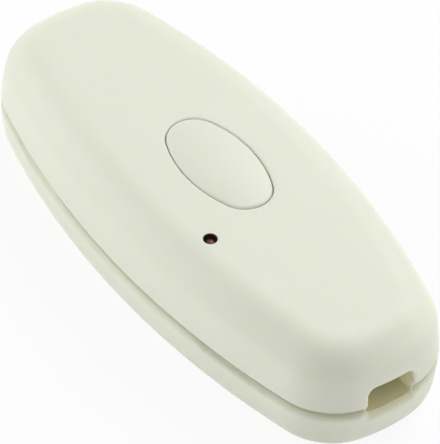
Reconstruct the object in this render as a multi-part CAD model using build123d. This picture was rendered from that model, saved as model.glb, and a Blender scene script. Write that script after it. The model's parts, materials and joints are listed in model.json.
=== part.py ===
from build123d import *
from math import asin, degrees, radians, sqrt, tan
import os

# Inline cord dimmer: a two-shell hand-held housing that sits in the run of a lamp cord.
# Millimetres. +X runs along the cord, +Z points up, the origin is at the middle of the base.

# Housing, outside
housing_length = 100.0
housing_width = 41.2
housing_height = 23.2
end_width = 26.8
end_bulge = 2.8
corner_radius = 12.6
crown_drop_length = 1.56
crown_drop_width = 0.43
shoulder_radius = 6.9
base_radius = 5.0
wall_draft = 5.9
wall = 2.0

# Parting line: a shadow groove with a tongue behind it
parting_height = 9.9
groove_height = 1.1
upper_lip_round = 0.45
lower_lip_round = 0.85
lip_skin = 0.95
lip_clearance = 0.1
tongue_rise = 1.1

# Cord entries, one in each end
entry_width = 9.2
entry_floor = 8.45
entry_roof = 14.1
entry_roof_corner = 1.6
entry_floor_corner = 0.8
entry_rim = 0.55
entry_sill_round = 1.2
cheek_thickness = 1.3
saddle_depth = 5.6
rib_thickness = 1.2

# Cord clamps
clamp_inset = 10.5
clamp_length = 5.6
clamp_thickness = 1.8
clamp_round = 0.6
clamp_rib_depth = 0.7
clamp_seat = 14.0
clamp_screw_spacing = 15.6
clamp_post_diameter = 5.0
grip_rib_pitch = 3.0
clamp_screw_diameter = 2.0
clamp_screw_length = 8.0
clamp_head_diameter = 4.0
clamp_head_height = 1.2

# Screws that hold the shells together, on one diagonal
post_inset = 23.8
post_diameter = 6.0
post_top = 12.6
screw_diameter = 2.6
screw_length = 14.5
screw_head_diameter = 5.4
screw_head_height = 1.8
screw_recess_depth = 3.2
screw_recess_wall = 1.2
screw_clearance = 0.35
pilot_clearance = 0.05

# Push button
button_length = 23.5
button_width = 12.6
button_end_radius = 4.9
button_gap = 0.15
button_dome = 0.8
button_round = 0.55
button_wall = 1.6
button_travel = 1.0
opening_depth = 2.5
opening_round = 0.35
flange_reach = 1.1
flange_thickness = 1.2
stop_gap = 0.1
collar_clearance = 0.3
collar_wall = 1.2
collar_depth = 3.2
stem_diameter = 3.6
button_rib = 1.0

# Push switch on the board
switch_side = 6.2
switch_height = 4.2
plunger_diameter = 3.2
plunger_rise = 2.2
plunger_depth = 0.8
plunger_clearance = 0.15
switch_leg = 0.7
switch_leg_thickness = 0.3
switch_leg_pitch = 4.5

# Screw details, as shares of the head and of the shank
head_round_share = 0.45
slot_share = 0.18
slot_reach_share = 0.62
point_share = 0.3

# Return spring round the button's stem
spring_diameter = 5.6
spring_wire = 0.45
spring_turns = 4.5
spring_seat_gap = 0.05

# Pilot lamp
lamp_x = 13.5
lamp_inset = 9.2
lamp_hole = 2.3
lamp_hole_round = 0.2
lamp_diameter = 3.0
lamp_height = 5.3
lamp_rim_diameter = 3.8
lamp_rim_height = 1.0
lamp_skin = 1.15
lamp_nose = 0.35
lamp_tube_wall = 1.0
lamp_tube_depth = 2.7
lamp_tube_clearance = 0.25
lamp_spacer_diameter = 4.6
lamp_lead_pitch = 2.0

# Circuit board
board_seat = 5.0
board_thickness = 1.6
board_edge_clearance = 0.6
board_end_clearance = 3.0
support_diameter = 4.0
support_inset = 2.5
pin_diameter = 1.9
pin_clearance = 0.2
pin_rise = 0.8
lead_clearance = 0.15
lead_tail = 1.0
drill_reach = 1.0
part_gap = 0.8
board_margin = 2.5
part_headroom = 0.3

# Screw terminals
terminal_depth = 8.0
terminal_width = 10.4
terminal_height = 10.0
terminal_inset = 1.5
terminal_bevel = 2.2
terminal_pitch = 5.0
cage_width = 3.6
cage_depth = 5.0
cage_height = 6.0
cage_floor = 1.0
wire_hole = 2.4
terminal_screw_diameter = 2.5
terminal_screw_head = 3.2
terminal_screw_head_height = 1.4

# Triac and its heat sink
sink_margin = 0.35
sink_thickness = 1.2
sink_fin_height = 7.0
sink_bend = 1.4
triac_length = 9.0
triac_width = 10.0
triac_height = 4.4
triac_bevel = 0.4
triac_tab_length = 6.0
triac_tab_thickness = 1.3
triac_lead_pitch = 2.54
triac_lead_width = 0.8
triac_lead_thickness = 0.5
triac_lead_reach = 2.4
triac_screw_diameter = 3.0
triac_screw_head = 5.4
triac_screw_head_height = 1.8
triac_nut_width = 5.5
triac_nut_height = 2.2

# Choke
choke_diameter = 11.0
choke_hub_diameter = 5.0
choke_flange = 1.2
choke_wire = 0.9
choke_layers = 2.2
choke_lead_pitch = 6.0

# Suppression capacitor
film_length = 13.0
film_width = 5.0
film_round = 0.6
film_lead_pitch = 10.0

# Varistor
varistor_diameter = 7.0
varistor_thickness = 3.4
varistor_round = 1.0
varistor_foot_width = 5.4
varistor_foot_thickness = 2.4
varistor_lead_pitch = 3.8

# Smoothing capacitor
can_diameter = 6.3
can_height = 8.8
can_round = 0.5
can_bead = 0.3
can_bead_rise = 1.3
can_lead_pitch = 2.5

# Control chip
chip_length = 4.9
chip_width = 3.9
chip_height = 1.5
chip_standoff = 0.15
chip_bevel = 0.2
chip_mark = 0.6
chip_mark_inset = 0.8
chip_mark_depth = 0.15
chip_leg_pitch = 1.27
chip_leg_width = 0.42
chip_leg_thickness = 0.2
chip_leg_reach = 1.05

# Axial parts: three resistors, two diodes and a fuse, all lying across the board
axial_lead_diameter = 0.6
axial_bend = 0.7
axial_span = 10.0
axial_end_round = 0.2
resistor_count = 3
resistor_diameter = 2.3
resistor_waist = 1.9
resistor_length = 6.2
resistor_end_round = 0.45
diode_count = 2
diode_diameter = 2.5
diode_length = 5.0
diode_band = 0.9
diode_band_step = 0.06
fuse_diameter = 2.6
fuse_length = 6.6
fuse_cap_length = 1.4
fuse_cap_step = 0.15
radial_lead_diameter = 0.6

FOOT = (Align.CENTER, Align.CENTER, Align.MIN)

# Heights
groove_bottom = parting_height - groove_height / 2
groove_top = parting_height + groove_height / 2
tongue_low = groove_bottom - wall / 2
tongue_top = groove_top + tongue_rise
ceiling = housing_height - wall
flange_stop = housing_height - opening_depth
flange_top = flange_stop - stop_gap
flange_bottom = flange_top - flange_thickness
collar_low = flange_bottom - collar_depth
board_top = board_seat + board_thickness
tall_part_height = collar_low - part_headroom - board_top
switch_top = board_top + switch_height
plunger_top = switch_top + plunger_rise
lamp_seat = housing_height - lamp_skin
lamp_top = lamp_seat + lamp_nose
lamp_base = lamp_top - lamp_height
tube_low = ceiling - lamp_tube_depth
above = housing_height + wall

# Places along and across the housing
lamp_y = lamp_inset - housing_width / 2
clamp_x = housing_length / 2 - clamp_inset
board_half = clamp_x - clamp_post_diameter / 2 - board_end_clearance
board_inset = wall + (parting_height - board_seat) * tan(radians(wall_draft)) + board_edge_clearance
board_side = housing_width / 2 - board_inset
terminal_x = board_half - terminal_inset - terminal_depth / 2
support_x = board_half - support_inset
post_x = housing_length / 2 - post_inset
post_y = terminal_width / 2 + part_gap + post_diameter / 2
post_side = post_x - post_diameter / 2 - screw_clearance
terminal_side = terminal_x - terminal_depth / 2

# Places on the board: a row of parts on each side, spread evenly between posts and terminals
sink_width = sink_margin + triac_width + sink_margin + sink_bend + sink_thickness
sink_length = triac_length + triac_tab_length
triac_reach = triac_lead_reach + triac_lead_thickness / 2


def spread(start, end, sizes):
    """Centres of parts of these sizes, set out from start to end with equal gaps."""
    gap = (end - start - sum(sizes)) / (len(sizes) + 1)
    centres = []
    for size in sizes:
        centres.append(start + gap + size / 2)
        start += gap + size
    return centres


triac_row_x, *diode_xs, choke_x = spread(
    -terminal_side,
    post_side,
    [sink_length + triac_reach] + [diode_diameter] * diode_count + [choke_diameter],
)
fuse_x, film_x, *resistor_xs, chip_x, can_x = spread(
    -post_side,
    terminal_side,
    [fuse_diameter, film_length] + [resistor_diameter] * resistor_count + [chip_length, can_diameter],
)
sink_x = triac_row_x - triac_reach / 2
sink_y = board_side - board_margin - sink_width / 2
choke_y = board_side - board_margin - choke_diameter / 2
diode_y = (switch_side / 2 + board_side) / 2
resistor_y = -diode_y
film_y = board_margin + film_width / 2 - board_side
varistor_x = film_x
varistor_y = film_y + (film_width + varistor_thickness) / 2 + part_gap
fuse_y = sink_y - sink_width / 2 - part_gap - (axial_span + axial_lead_diameter) / 2
chip_y = lamp_y + lamp_spacer_diameter / 2 + part_gap + chip_width / 2 + chip_leg_reach
can_y = chip_y


def arc_radius(half_chord, sagitta):
    """Radius of the arc that rises by sagitta over a chord of twice half_chord."""
    return (half_chord**2 + sagitta**2) / (2 * sagitta)


def rod(diameter, low, high, x=0.0, y=0.0):
    """Upright cylinder between two heights."""
    return Pos(x, y, low) * Cylinder(diameter / 2, high - low, align=FOOT)


def block(size_x, size_y, low, high, x=0.0, y=0.0):
    """Upright block between two heights."""
    return Pos(x, y, low) * Box(size_x, size_y, high - low, align=FOOT)


def button_prism(growth, low, high):
    """Upright prism with the button's outline grown all round: two flat side arcs and two end arcs."""
    half_length = button_length / 2 + growth
    half_width = button_width / 2 + growth
    end_radius = button_end_radius + growth
    end_x = half_length - end_radius
    side_radius = (end_x**2 + half_width**2 - end_radius**2) / (2 * (half_width - end_radius))
    reach = side_radius / (side_radius - end_radius)
    side_y = side_radius - half_width
    x, y = end_x * reach, side_y * reach - side_y
    outline = make_face([
        ThreePointArc((-x, y), (0, half_width), (x, y)),
        ThreePointArc((x, y), (half_length, 0), (x, -y)),
        ThreePointArc((x, -y), (0, -half_width), (-x, -y)),
        ThreePointArc((-x, -y), (-half_length, 0), (-x, y)),
    ])
    return extrude(Pos(0, 0, low) * outline, high - low, dir=(0, 0, 1))


def both_ends(piece):
    """The piece and its copy turned half way round to the other cord end."""
    return [piece, Rot(0, 0, 180) * piece]


# Housing form: a barrel outline, drafted walls, a crown curved both ways and a rolled shoulder.


def barrel_outline(inset=0.0):
    """Plan of the housing at the parting line, set in all round."""
    side_radius = arc_radius(housing_length / 2 - end_bulge, (housing_width - end_width) / 2)
    end_radius = arc_radius(end_width / 2, end_bulge)
    side_y = side_radius - housing_width / 2
    end_x = housing_length / 2 - end_radius
    sides = Pos(0, -side_y) * Circle(side_radius - inset) & Pos(0, side_y) * Circle(side_radius - inset)
    ends = Rectangle(2 * end_x, 2 * housing_width)
    ends += [Pos(end_x, 0) * Circle(end_radius - inset), Pos(-end_x, 0) * Circle(end_radius - inset)]
    plan = sides & ends
    return fillet(plan.vertices(), corner_radius - inset)


def drafted_wall(inset, rise):
    """Solid from the parting line up or down by rise, its sides leaning in by the mould draft."""
    parting = Plane.XY.offset(parting_height)
    hanging = extrude(parting * barrel_outline(inset), -abs(rise), taper=wall_draft)
    return hanging if rise < 0 else mirror(hanging, parting)


def crowned_slab(top, radius_long, radius_wide, reach_x, reach_y, depth):
    """Thick slab whose upper face is curved along X and across Y, highest over the origin."""
    sag = radius_wide - sqrt(radius_wide**2 - reach_y**2)
    crest = ThreePointArc((-reach_y, top - sag), (0, top), (reach_y, top - sag))
    sides = Polyline(
        (reach_y, top - sag), (reach_y, top - depth), (-reach_y, top - depth), (-reach_y, top - sag)
    )
    section = Plane.YZ * make_face([crest, sides])
    pivot = Axis((0, 0, top - radius_long), (0, 1, 0))
    swing = degrees(asin(reach_x / radius_long))
    return revolve(section.rotate(pivot, -swing), pivot, 2 * swing)


def upper_form(inset=0.0):
    """Closed form of the upper half, from the parting line to the crown."""
    skirt = drafted_wall(inset, housing_height - parting_height)
    crown = crowned_slab(
        housing_height - inset,
        arc_radius(housing_length / 2, crown_drop_length) - inset,
        arc_radius(housing_width / 2, crown_drop_width) - inset,
        housing_length / 2 + wall,
        housing_width / 2 + wall,
        2 * housing_height,
    )
    form = skirt & crown
    return fillet(form.faces().sort_by(Axis.Z)[-1].edges(), shoulder_radius - inset)


def lower_form(inset=0.0):
    """Closed form of the lower half, from the flat base up to the parting line."""
    tray = drafted_wall(inset, inset - parting_height)
    return fillet(tray.faces().sort_by(Axis.Z)[0].edges(), base_radius - inset)


def entry_ways():
    """Ways for the cord through both end walls, with rounded corners."""
    start = clamp_x + clamp_length / 2
    length = housing_length / 2 + wall - start
    way = block(length, entry_width, entry_floor, entry_roof, start + length / 2)
    way = fillet(way.edges().filter_by(Axis.X).group_by(Axis.Z)[-1], entry_roof_corner)
    return both_ends(fillet(way.edges().filter_by(Axis.X).group_by(Axis.Z)[0], entry_floor_corner))


def round_entry(form, radius):
    """Cuts the cord entries out of a half of the housing and rounds their rims outside."""
    cut = form - entry_ways()
    rim = [
        edge for edge in cut.edges()
        if abs(edge.center().X) > housing_length / 2 - wall
        and abs(edge.center().Y) < entry_width / 2 + lip_clearance
        and entry_floor - lip_clearance < edge.center().Z < entry_roof + lip_clearance
        and edge.bounding_box().size.X < wall / 2
    ]
    return fillet(rim, radius)


# Upper shell


def upper_features():
    """What stands inside the upper shell: bosses, button collar, lamp tube, saddle ribs, cheeks."""
    collar_inside = flange_reach + collar_clearance
    collar = button_prism(collar_inside + collar_wall, collar_low, housing_height)
    collar -= button_prism(collar_inside, collar_low, flange_stop)
    tube_diameter = lamp_diameter + 2 * (lamp_tube_clearance + lamp_tube_wall)
    tube = rod(tube_diameter, tube_low, housing_height, lamp_x, lamp_y)
    features = [collar, tube]
    for side in (1, -1):
        features.append(rod(post_diameter, post_top, housing_height, side * post_x, side * post_y))
    cheek_y = (entry_width + cheek_thickness) / 2
    wall_face = housing_length / 2
    cheek_low = tongue_top + lip_clearance
    for side in (1, -1):
        x, y = wall_face - saddle_depth / 2, side * cheek_y
        features += both_ends(block(saddle_depth, cheek_thickness, cheek_low, housing_height, x, y))
    rib_x = wall_face - saddle_depth + rib_thickness / 2
    features += both_ends(block(rib_thickness, entry_width, entry_roof, housing_height, rib_x))
    return features


def make_upper_shell():
    kept = block(2 * housing_length, 2 * housing_width, groove_top, above)
    outside = round_entry(upper_form(), entry_rim) & kept
    outside = fillet(outside.faces().sort_by(Axis.Z)[0].edges(), upper_lip_round)
    rebate = extrude(
        Plane.XY.offset(parting_height) * barrel_outline(lip_skin),
        tongue_top + lip_clearance - parting_height,
        dir=(0, 0, 1),
    )
    cavity = upper_form(wall) + rebate
    for feature in upper_features():
        cavity -= feature
    cavity += rod(lamp_diameter + 2 * lamp_tube_clearance, tube_low, lamp_seat, lamp_x, lamp_y)
    shell = open_top(outside) - cavity - entry_ways()
    for side in (1, -1):
        pilot = screw_diameter + 2 * pilot_clearance
        pilot_top = screw_recess_depth + screw_length + drill_reach
        shell -= rod(pilot, post_top, pilot_top, side * post_x, side * post_y)
    return shell


def open_top(outside):
    """Cuts the button opening and the lamp hole into the crown and rounds their rims."""
    opening = button_prism(button_gap, flange_stop - wall, above)
    hole = rod(lamp_hole, ceiling - wall, above, lamp_x, lamp_y)
    places = [
        (opening, 0, 0, button_length / 2 + wall, button_width / 2 + wall, opening_round),
        (hole, lamp_x, lamp_y, lamp_hole, lamp_hole, lamp_hole_round),
    ]
    for cutter, x, y, reach_x, reach_y, rim_round in places:
        outside -= cutter
        rim = [
            edge for edge in outside.edges()
            if abs(edge.center().X - x) < reach_x
            and abs(edge.center().Y - y) < reach_y
            and edge.center().Z > ceiling
            and edge.bounding_box().size.Z < wall
        ]
        outside = fillet(rim, rim_round)
    return outside


# Lower shell


def saddle_features():
    """Cord saddles at both ends: sill behind the entry, cheeks beside it and two grip ribs."""
    sill_x = housing_length / 2 - saddle_depth / 2
    cheek_y = (entry_width + cheek_thickness) / 2
    saddle = [block(saddle_depth, entry_width, 0, entry_floor, sill_x)]
    for side in (1, -1):
        saddle.append(block(saddle_depth, cheek_thickness, 0, tongue_top, sill_x, side * cheek_y))
        grip_x = clamp_x + side * grip_rib_pitch / 2
        saddle.append(block(rib_thickness, entry_width, 0, entry_floor, grip_x))
    return [piece for feature in saddle for piece in both_ends(feature)]


def standing_posts():
    """Posts on the floor of the lower shell: for the housing screws, the board and the clamps."""
    head_recess = screw_head_diameter + 2 * screw_clearance
    posts = []
    for side in (1, -1):
        x, y = side * post_x, side * post_y
        posts.append(rod(post_diameter, 0, post_top, x, y))
        boss_top = screw_recess_depth + screw_recess_wall
        posts.append(rod(head_recess + 2 * screw_recess_wall, 0, boss_top, x, y))
        for support in (support_x, -support_x):
            posts.append(rod(support_diameter, 0, board_seat, support, side * post_y))
            posts.append(rod(pin_diameter, 0, board_top + pin_rise, support, side * post_y))
        clamp_post = rod(clamp_post_diameter, 0, clamp_seat, clamp_x, side * clamp_screw_spacing / 2)
        posts += both_ends(clamp_post)
    return posts


def make_lower_shell():
    kept = block(2 * housing_length, 2 * housing_width, -wall, groove_bottom)
    outside = round_entry(lower_form(), entry_sill_round) & kept
    outside = fillet(outside.faces().sort_by(Axis.Z)[-1].edges(), lower_lip_round)
    shell = outside - lower_form(wall)
    tongue_inside = Plane.XY.offset(tongue_low) * barrel_outline(lip_skin + lip_clearance)
    tongue_core = extrude(tongue_inside, tongue_top - tongue_low, dir=(0, 0, 1))
    inside = extrude(barrel_outline(wall), above)
    shell += tongue_core - inside
    shell -= entry_ways()
    core = lower_form(wall / 2) + tongue_core
    for feature in saddle_features():
        shell += feature & core
    core += inside
    for post in standing_posts():
        shell += post & core
    head_recess = screw_head_diameter + 2 * screw_clearance
    screw_hole = screw_diameter + 2 * screw_clearance
    clamp_pilot = clamp_screw_diameter + 2 * pilot_clearance
    pilot_low = clamp_seat + clamp_thickness - clamp_screw_length - drill_reach
    for side in (1, -1):
        x, y = side * post_x, side * post_y
        shell -= rod(head_recess, -wall, screw_recess_depth, x, y)
        shell -= rod(screw_hole, -wall, post_top + drill_reach, x, y)
        clamp_y = side * clamp_screw_spacing / 2
        shell -= both_ends(rod(clamp_pilot, pilot_low, clamp_seat + drill_reach, clamp_x, clamp_y))
    return shell


# Fasteners, pan heads with a cross recess


def pan_screw(diameter, length, head_diameter, head_height):
    """Screw with the seat of its head at the origin, head above and shank below."""
    head = rod(head_diameter, 0, head_height)
    head = fillet(head.edges().group_by(Axis.Z)[-1], head_height * head_round_share)
    slot = head_diameter * slot_share
    arm = head_diameter * slot_reach_share
    cross = block(arm, slot, head_height / 2, head_height) + block(slot, arm, head_height / 2, head_height)
    shank = rod(diameter, -length, 0)
    shank = chamfer(shank.edges().group_by(Axis.Z)[0], diameter * point_share)
    return head + shank - cross


def housing_screws():
    """Two screws driven up from their recesses in the base into the bosses of the upper shell."""
    screw = pan_screw(screw_diameter, screw_length, screw_head_diameter, screw_head_height)
    screw = Rot(180, 0, 0) * screw
    return [Pos(side * post_x, side * post_y, screw_recess_depth) * screw for side in (1, -1)]


# Cord clamps: a bridge over the cord on two posts, with a pressing rib under it


def make_cord_clamp():
    span = clamp_screw_spacing + clamp_length
    top = clamp_seat + clamp_thickness
    bridge = Pos(clamp_x, 0, clamp_seat) * extrude(
        SlotOverall(span, clamp_length, rotation=90), clamp_thickness
    )
    bridge = fillet(bridge.edges().group_by(Axis.Z)[-1], clamp_round)
    rib_width = entry_width - 2 * lip_clearance
    bridge += block(rib_thickness, rib_width, clamp_seat - clamp_rib_depth, clamp_seat, clamp_x)
    for side in (1, -1):
        hole = clamp_screw_diameter + 2 * screw_clearance
        y = side * clamp_screw_spacing / 2
        bridge -= rod(hole, clamp_seat - drill_reach, top + drill_reach, clamp_x, y)
    return bridge


def clamp_screws():
    screw = pan_screw(clamp_screw_diameter, clamp_screw_length, clamp_head_diameter, clamp_head_height)
    seat = clamp_seat + clamp_thickness
    placed = [Pos(clamp_x, side * clamp_screw_spacing / 2, seat) * screw for side in (1, -1)]
    return [piece for one in placed for piece in both_ends(one)]


# Push button: a domed cap with a flange that stops under the shell and a stem down to the switch


def make_push_button():
    dome = crowned_slab(
        housing_height + button_dome,
        arc_radius(button_length / 2, button_dome),
        arc_radius(button_width / 2, button_dome),
        button_length / 2 + button_wall,
        button_width / 2 + button_wall,
        housing_height,
    )
    cap = button_prism(0, flange_bottom, above) & dome
    cap = fillet(cap.faces().sort_by(Axis.Z)[-1].edges(), button_round)
    flange = button_prism(flange_reach, flange_bottom, flange_top)
    hollow = button_prism(-button_wall, flange_bottom, housing_height - button_wall)
    hollow -= block(button_length, button_rib, flange_bottom, housing_height)
    hollow -= block(button_rib, button_width, flange_bottom, housing_height)
    spring_plate = rod(spring_diameter + 2 * button_rib, flange_bottom, flange_top)
    stem = rod(stem_diameter, plunger_top + stop_gap, housing_height - button_wall)
    stem = chamfer(stem.edges().group_by(Axis.Z)[0], plunger_clearance)
    return cap + flange - hollow + spring_plate + stem


def make_spring():
    """Round-wire return spring between the switch and the button's spring plate."""
    low = switch_top + spring_wire / 2 + spring_seat_gap
    high = flange_bottom - spring_wire / 2 - spring_seat_gap
    radius = (spring_diameter - spring_wire) / 2
    coil = Helix((high - low) / spring_turns, high - low, radius, center=(0, 0, low))
    return sweep(Plane(coil @ 0, z_dir=coil % 0) * Circle(spring_wire / 2), path=coil)


# Push switch


def make_switch_body():
    body = block(switch_side, switch_side, board_top, switch_top)
    body = chamfer(body.edges().filter_by(Axis.Z), switch_leg / 2)
    bore = plunger_diameter + 2 * plunger_clearance
    return body - rod(bore, switch_top - plunger_depth - button_travel - plunger_clearance, switch_top)


def make_switch_plunger():
    plunger = rod(plunger_diameter, switch_top - plunger_depth, plunger_top)
    return fillet(plunger.edges().group_by(Axis.Z)[-1], plunger_clearance * 2)


def switch_leg_places():
    return [
        (x * (switch_side + switch_leg_thickness) / 2, y * switch_leg_pitch / 2)
        for x in (1, -1)
        for y in (1, -1)
    ]


def switch_legs():
    low, high = board_seat - lead_tail, board_top + switch_height / 3
    return [block(switch_leg_thickness, switch_leg, low, high, x, y) for x, y in switch_leg_places()]


# Pilot lamp: a round-nosed diode lamp on a spacer, its nose in the hole of the upper shell


def lamp_lead_places():
    return [(lamp_x + side * lamp_lead_pitch / 2, lamp_y) for side in (1, -1)]


def make_indicator_lamp():
    lamp = rod(lamp_diameter, lamp_base, lamp_top - lamp_diameter / 2, lamp_x, lamp_y)
    lamp += Pos(lamp_x, lamp_y, lamp_top - lamp_diameter / 2) * Sphere(lamp_diameter / 2)
    return lamp + rod(lamp_rim_diameter, lamp_base, lamp_base + lamp_rim_height, lamp_x, lamp_y)


def make_lamp_spacer():
    spacer = rod(lamp_spacer_diameter, board_top, lamp_base, lamp_x, lamp_y)
    for x, y in lamp_lead_places():
        spacer -= rod(radial_lead_diameter + 2 * lead_clearance, board_top, lamp_base, x, y)
    return spacer


# Axial parts


def axial_body(diameter, length, end_round):
    """Round body along Y, resting on the board at x = 0, y = 0."""
    body = Rot(90, 0, 0) * Cylinder(diameter / 2, length)
    return Pos(0, 0, board_top + diameter / 2) * fillet(body.edges().filter_by(GeomType.CIRCLE), end_round)


def axial_leads(diameter, length):
    """Two wires that leave the ends of the body, bend down and pass through the board."""
    height = board_top + diameter / 2
    half_span = axial_span / 2
    route = FilletPolyline(
        (0, length / 2, height), (0, half_span, height), (0, half_span, board_seat - lead_tail),
        radius=axial_bend,
    )
    wire = sweep(Plane(route @ 0, z_dir=route % 0) * Circle(axial_lead_diameter / 2), path=route)
    return [wire, Rot(0, 0, 180) * wire]


def make_resistor():
    body = axial_body(resistor_diameter, resistor_length, resistor_end_round)
    waist = Cylinder(resistor_diameter, resistor_length / 2)
    waist -= Cylinder(resistor_waist / 2, resistor_length / 2)
    return body - Pos(0, 0, board_top + resistor_diameter / 2) * Rot(90, 0, 0) * waist


def make_diode():
    body = axial_body(diode_diameter, diode_length, axial_end_round)
    band = Cylinder(diode_diameter, diode_band)
    band -= Cylinder(diode_diameter / 2 - diode_band_step, diode_band)
    band_y = diode_length / 2 - diode_band - diode_band / 2
    return body - Pos(0, band_y, board_top + diode_diameter / 2) * Rot(90, 0, 0) * band


def make_fuse():
    body = axial_body(fuse_diameter, fuse_length, axial_end_round)
    middle = fuse_length - 2 * fuse_cap_length
    waist = Cylinder(fuse_diameter, middle) - Cylinder(fuse_diameter / 2 - fuse_cap_step, middle)
    return body - Pos(0, 0, board_top + fuse_diameter / 2) * Rot(90, 0, 0) * waist


axial_parts = [(Pos(x, resistor_y, 0), resistor_diameter, resistor_length) for x in resistor_xs]
axial_parts += [(Pos(x, diode_y, 0), diode_diameter, diode_length) for x in diode_xs]
axial_parts += [(Pos(fuse_x, fuse_y, 0), fuse_diameter, fuse_length)]


def axial_lead_places():
    return [
        (place.position.X, place.position.Y + side * axial_span / 2)
        for place, diameter, length in axial_parts
        for side in (1, -1)
    ]


# Radial parts: suppression capacitor, varistor, smoothing capacitor and choke


def make_film_capacitor():
    case = block(film_length, film_width, board_top, board_top + tall_part_height, film_x, film_y)
    bottom = case.edges().group_by(Axis.Z)[0]
    return fillet([edge for edge in case.edges() if edge not in bottom], film_round)


def make_varistor():
    middle = board_top + varistor_diameter / 2
    disc = Rot(90, 0, 0) * Cylinder(varistor_diameter / 2, varistor_thickness)
    disc = fillet(disc.edges().filter_by(GeomType.CIRCLE), varistor_round)
    foot = block(varistor_foot_width, varistor_foot_thickness, board_top, middle)
    return Pos(varistor_x, varistor_y, 0) * (Pos(0, 0, middle) * disc + foot)


def make_can_capacitor():
    can = rod(can_diameter, board_top, board_top + can_height)
    can = fillet(can.edges().group_by(Axis.Z)[-1], can_round)
    can -= Pos(0, 0, board_top + can_bead_rise) * Torus(can_diameter / 2 + can_bead, can_bead * 2)
    return Pos(can_x, can_y, 0) * can


def choke_profile(points):
    return Pos(choke_x, choke_y, board_top) * revolve(Plane.XZ * make_face(Polyline(*points, close=True)))


def make_choke_core():
    """Drum core: a hub between two flanges."""
    hub, rim, top = choke_hub_diameter / 2, choke_diameter / 2, tall_part_height
    return choke_profile([
        (0, 0), (rim, 0), (rim, choke_flange), (hub, choke_flange),
        (hub, top - choke_flange), (rim, top - choke_flange), (rim, top), (0, top),
    ])


def make_choke_winding():
    """Copper winding that fills the drum, with a ridge for each turn of its outer layer."""
    low, high = choke_flange, tall_part_height - choke_flange
    turns = int((high - low) / choke_wire)
    pitch = (high - low) / turns
    inner = choke_hub_diameter / 2
    outer = inner + choke_layers
    ridges = [
        ThreePointArc(
            (outer, low + turn * pitch),
            (outer + pitch / 2, low + (turn + 0.5) * pitch),
            (outer, low + (turn + 1) * pitch),
        )
        for turn in range(turns)
    ]
    rest = Polyline((outer, high), (inner, high), (inner, low), (outer, low))
    section = Plane.XZ * make_face(ridges + [rest])
    return Pos(choke_x, choke_y, board_top) * revolve(section)


def radial_lead_places():
    """Centres of the straight wires under the radial parts."""
    pairs = [
        (film_x, film_y, film_lead_pitch),
        (varistor_x, varistor_y, varistor_lead_pitch),
        (can_x, can_y, can_lead_pitch),
        (choke_x, choke_y, choke_lead_pitch),
    ]
    return [(x + side * pitch / 2, y) for x, y, pitch in pairs for side in (1, -1)]


def radial_leads():
    low = board_seat - lead_tail
    short = [rod(radial_lead_diameter, low, board_top, x, y) for x, y in radial_lead_places()]
    return short + [rod(radial_lead_diameter, low, lamp_base, x, y) for x, y in lamp_lead_places()]


# Control chip


def make_chip():
    low = board_top + chip_standoff
    body = block(chip_length, chip_width, low, low + chip_height)
    body = chamfer(body.edges().group_by(Axis.Z)[-1], chip_bevel)
    mark_x, mark_y = chip_mark_inset - chip_length / 2, chip_mark_inset - chip_width / 2
    dimple = rod(chip_mark, low + chip_height - chip_mark_depth, low + chip_height, mark_x, mark_y)
    return Pos(chip_x, chip_y, 0) * (body - dimple)


def chip_legs():
    """Eight gull-wing legs, four on each long side."""
    shoulder = board_top + chip_standoff + chip_height / 2
    edge = chip_width / 2
    thick = chip_leg_thickness
    leg = extrude(
        Plane.YZ * make_face(Polyline(
            (edge, shoulder), (edge + chip_leg_reach / 2, shoulder),
            (edge + chip_leg_reach / 2, board_top + thick), (edge + chip_leg_reach, board_top + thick),
            (edge + chip_leg_reach, board_top), (edge + chip_leg_reach / 2 - thick, board_top),
            (edge + chip_leg_reach / 2 - thick, shoulder - thick), (edge, shoulder - thick),
            close=True,
        )),
        chip_leg_width / 2,
        both=True,
    )
    row = [Pos((place - 3 / 2) * chip_leg_pitch, 0, 0) * leg for place in range(4)]
    row += [Rot(0, 0, 180) * leg for leg in row]
    return [Pos(chip_x, chip_y, 0) * leg for leg in row]


# Triac on its folded heat sink, held by a screw and nut through the board

sink_top = board_top + sink_thickness
triac_face = sink_x + sink_length / 2
triac_y = sink_y - sink_width / 2 + sink_margin + triac_width / 2
tab_hole_x = sink_x - sink_length / 2 + triac_tab_length / 2


def make_heat_sink():
    """Aluminium strip folded up along its +Y edge, the bend round inside and outside."""
    edge = sink_width / 2
    centre_line = FilletPolyline(
        (-edge, sink_thickness / 2),
        (edge - sink_thickness / 2, sink_thickness / 2),
        (edge - sink_thickness / 2, sink_fin_height),
        radius=sink_bend,
    )
    strip = trace(centre_line, sink_thickness)
    sink = Pos(sink_x, sink_y, board_top) * extrude(Plane.YZ * strip, sink_length / 2, both=True)
    hole = triac_screw_diameter + 2 * screw_clearance
    return sink - rod(hole, board_top - drill_reach, sink_top + drill_reach, tab_hole_x, triac_y)


def make_triac_tab():
    """Metal back of the triac with its screw hole."""
    top = sink_top + triac_tab_thickness
    tab = block(sink_length, triac_width, sink_top, top, sink_x, triac_y)
    hole = triac_screw_diameter + 2 * screw_clearance
    return tab - rod(hole, sink_top - drill_reach, top + drill_reach, tab_hole_x, triac_y)


def make_triac_body():
    low, high = sink_top + triac_tab_thickness, sink_top + triac_height
    body = block(triac_length, triac_width, low, high, triac_face - triac_length / 2, triac_y)
    return chamfer(body.edges().group_by(Axis.Z)[-1], triac_bevel)


def triac_lead_places():
    x = triac_face + triac_lead_reach
    return [(x, triac_y + step * triac_lead_pitch) for step in (-1, 0, 1)]


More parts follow.
